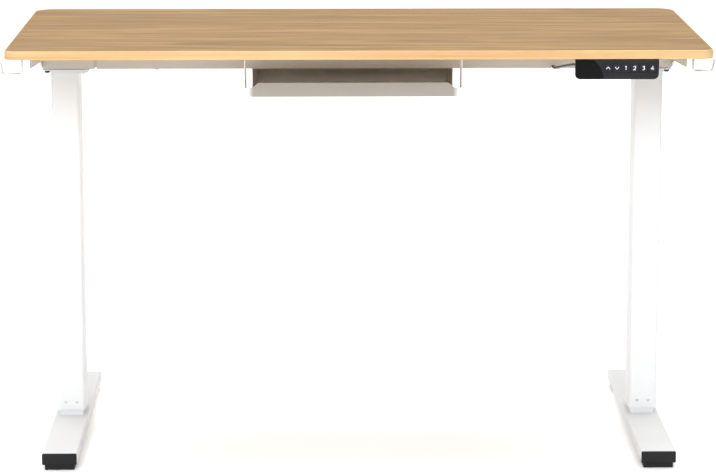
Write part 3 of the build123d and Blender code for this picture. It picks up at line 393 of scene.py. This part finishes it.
def flat_shape(name, loops, y, thickness, body, material):
    """A thin raised print made of closed loops drawn in X and Z, facing -Y."""
    build = bmesh.new()
    for loop in loops:
        face = build.faces.new([build.verts.new((x, y, z)) for x, z in loop])
        face.normal_update()
        if face.normal.y > 0:
            face.normal_flip()
        back = bmesh.ops.extrude_face_region(build, geom=[face])
        moved = [v for v in back["geom"] if isinstance(v, bmesh.types.BMVert)]
        bmesh.ops.translate(build, verts=moved, vec=(0.0, -thickness, 0.0))
    bmesh.ops.recalc_face_normals(build, faces=build.faces)
    fitting(name, build, material, body)


def stroke(points, width):
    """The outline of a line of even width through a few points, with mitred corners."""
    left, right = [], []
    for i, here in enumerate(points):
        before = Vector(points[i - 1]) if i else None
        after = Vector(points[i + 1]) if i + 1 < len(points) else None
        here = Vector(here)
        ins = (here - before).normalized() if before else (after - here).normalized()
        outs = (after - here).normalized() if after else ins
        normal = Vector((-(ins + outs).y, (ins + outs).x)).normalized()
        reach = width / 2 / max(0.4, normal.dot(Vector((-ins.y, ins.x))))
        left.append(here + normal * reach)
        right.append(here - normal * reach)
    return [tuple(p) for p in left + right[::-1]]


def digit(number, x, z, size):
    """A plain single-stroke digit as lines about its centre."""
    shapes = {
        1: [[(-0.18, 0.28), (0.04, 0.5), (0.04, -0.5)]],
        2: [[
            (-0.3, 0.24), (-0.2, 0.44), (0.0, 0.5), (0.22, 0.42),
            (0.28, 0.2), (0.16, -0.06), (-0.3, -0.46), (0.32, -0.46),
        ]],
        3: [[
            (-0.28, 0.46), (0.26, 0.46), (0.0, 0.08), (0.22, 0.0),
            (0.3, -0.2), (0.18, -0.42), (-0.04, -0.5), (-0.28, -0.38),
        ]],
        4: [[(0.14, -0.5), (0.14, 0.5), (-0.32, -0.2), (0.34, -0.2)]],
    }
    return [[(x + px * size, z + pz * size) for px, pz in line] for line in shapes[number]]


def arrow(x, z, up):
    """A chevron about its centre; up is 1 or -1."""
    tail = z - up * ARROW_HALF_HEIGHT
    return [[(x - ARROW_HALF_WIDTH, tail), (x, z + up * ARROW_HALF_HEIGHT), (x + ARROW_HALF_WIDTH, tail)]]


def key_prints():
    """The white print on each key: an arrow up, an arrow down and four digits."""
    ink = printed_ink()
    for index, key in enumerate(KEYS):
        low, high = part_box(key)
        x, z = (low.x + high.x) / 2, (low.z + high.z) / 2
        if index == 0:
            lines = arrow(x, z, 1.0)
        elif index == 1:
            lines = arrow(x, z, -1.0)
        else:
            lines = digit(index - 1, x, z, DIGIT_HEIGHT)
        loops = [stroke(line, PRINT_STROKE) for line in lines]
        flat_shape(key + "_print", loops, low.y, PRINT_THICKNESS, key + "_cap", ink)


key_prints()


# ---- small fittings ----
def strain_relief(name, place, direction, length=0.011):
    """A ribbed rubber sleeve round a cable where it enters a housing."""
    build = bmesh.new()
    axis = Vector(direction)
    turn = axis.to_track_quat("Z", "Y").to_matrix().to_4x4()
    for i in range(4):
        middle = Vector(place) + axis * length * (i + 0.5) / 4
        bmesh.ops.create_cone(
            build, cap_ends=True, segments=24, radius1=0.0040 - 0.0003 * i, radius2=0.0036 - 0.0003 * i,
            depth=length / 4 - 0.0004, matrix=Matrix.Translation(middle) @ turn,
        )
    bmesh.ops.create_cone(
        build, cap_ends=True, segments=24, radius1=0.0031, radius2=0.0027, depth=length,
        matrix=Matrix.Translation(Vector(place) + axis * length / 2) @ turn,
    )
    fitting(name, build, MATERIALS["cable_jacket"])


def bars(name, boxes, material):
    """Several small blocks in one piece; each is a centre and a size."""
    build = bmesh.new()
    for centre, size in boxes:
        matrix = Matrix.Translation(Vector(centre)) @ Matrix.Diagonal((*size, 1.0))
        bmesh.ops.create_cube(build, size=1.0, matrix=matrix)
    fitting(name, build, material)


def small_fittings():
    handset_low, handset_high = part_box("handset_cable")
    strain_relief("handset_strain_relief", (0.380, handset_low.y, 0.6975), (0.0, 1.0, 0.0))
    strain_relief("box_strain_relief", (0.3484, handset_high.y, 0.690), (0.0, -1.0, 0.0))
    motor_low, motor_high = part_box("motor_housing")
    strain_relief("motor_strain_relief", (0.430, motor_high.y, 0.697), (0.0, 1.0, 0.0))
    low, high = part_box("control_box_housing")
    middle = (low.x + high.x) / 2
    vents = [
        ((middle + (i - 4.5) * 0.009, low.y + 0.045, low.z - 0.00005), (0.003, 0.045, 0.0003))
        for i in range(10)
    ]
    bars("control_box_vents", vents, MATERIALS["cable_jacket"])


small_fittings()


# ---- floor, backdrop and light ----
def pale_floor():
    """A plain near-white floor that runs far past the desk and glows a little behind it."""
    bpy.ops.mesh.primitive_plane_add(size=60.0, location=(0.0, 10.0, 0.0))
    floor = bpy.context.object
    floor.name = "floor"
    m = Nodes("floor")
    cloud = m.noise((1.0, 1.0, 1.0), 0.7, 2.0, 0.5)
    base = m.ramp(cloud, [(0.3, (0.93, 0.93, 0.93)), (0.7, (0.95, 0.95, 0.95))])
    place = m.add("ShaderNodeSeparateXYZ", Vector=m.place((1.0, 1.0, 1.0)))
    m.set(Base_Color=base, Roughness=0.8, Specular_IOR_Level=0.2)
    glow = m.grey(place.outputs["Y"], -10.5, -8.0, 0.0, 0.60)
    m.set(Emission_Color=(1.0, 1.0, 1.0, 1.0), Emission_Strength=glow)
    floor.data.materials.append(m.material)


def area_light(name, place, aim, width, height, power):
    data = bpy.data.lights.new(name, "AREA")
    data.shape = "RECTANGLE"
    data.size, data.size_y = width, height
    data.energy = power
    light = bpy.data.objects.new(name, data)
    scene.collection.objects.link(light)
    light.location = place
    light.rotation_euler = (Vector(aim) - Vector(place)).to_track_quat("-Z", "Y").to_euler()


def surround(world):
    """A room that is white behind and above the desk and dark on the camera's side."""
    tree = world.node_tree
    coords = tree.nodes.new("ShaderNodeTexCoord")
    parts = tree.nodes.new("ShaderNodeSeparateXYZ")
    tree.links.new(coords.outputs["Generated"], parts.inputs["Vector"])
    back = tree.nodes.new("ShaderNodeMapRange")
    tree.links.new(parts.outputs["Y"], back.inputs["Value"])
    for index, number in zip((1, 2, 3, 4), (-0.20, 0.85, WORLD_FRONT, WORLD_BACK)):
        back.inputs[index].default_value = number
    tree.links.new(back.outputs["Result"], tree.nodes["Background"].inputs["Strength"])


def studio():
    world = bpy.data.worlds.new("studio")
    scene.world = world
    world.use_nodes = True
    world.node_tree.nodes["Background"].inputs["Color"].default_value = (1.0, 1.0, 1.0, 1.0)
    surround(world)
    area_light("key", (-0.6, -5.3, 3.1), (0.0, 0.0, 0.45), 5.6, 2.8, KEY_POWER)
    area_light("overhead", (0.0, 0.6, 4.0), (0.0, 0.3, 0.0), 5.0, 4.0, OVERHEAD_POWER)


pale_floor()
studio()
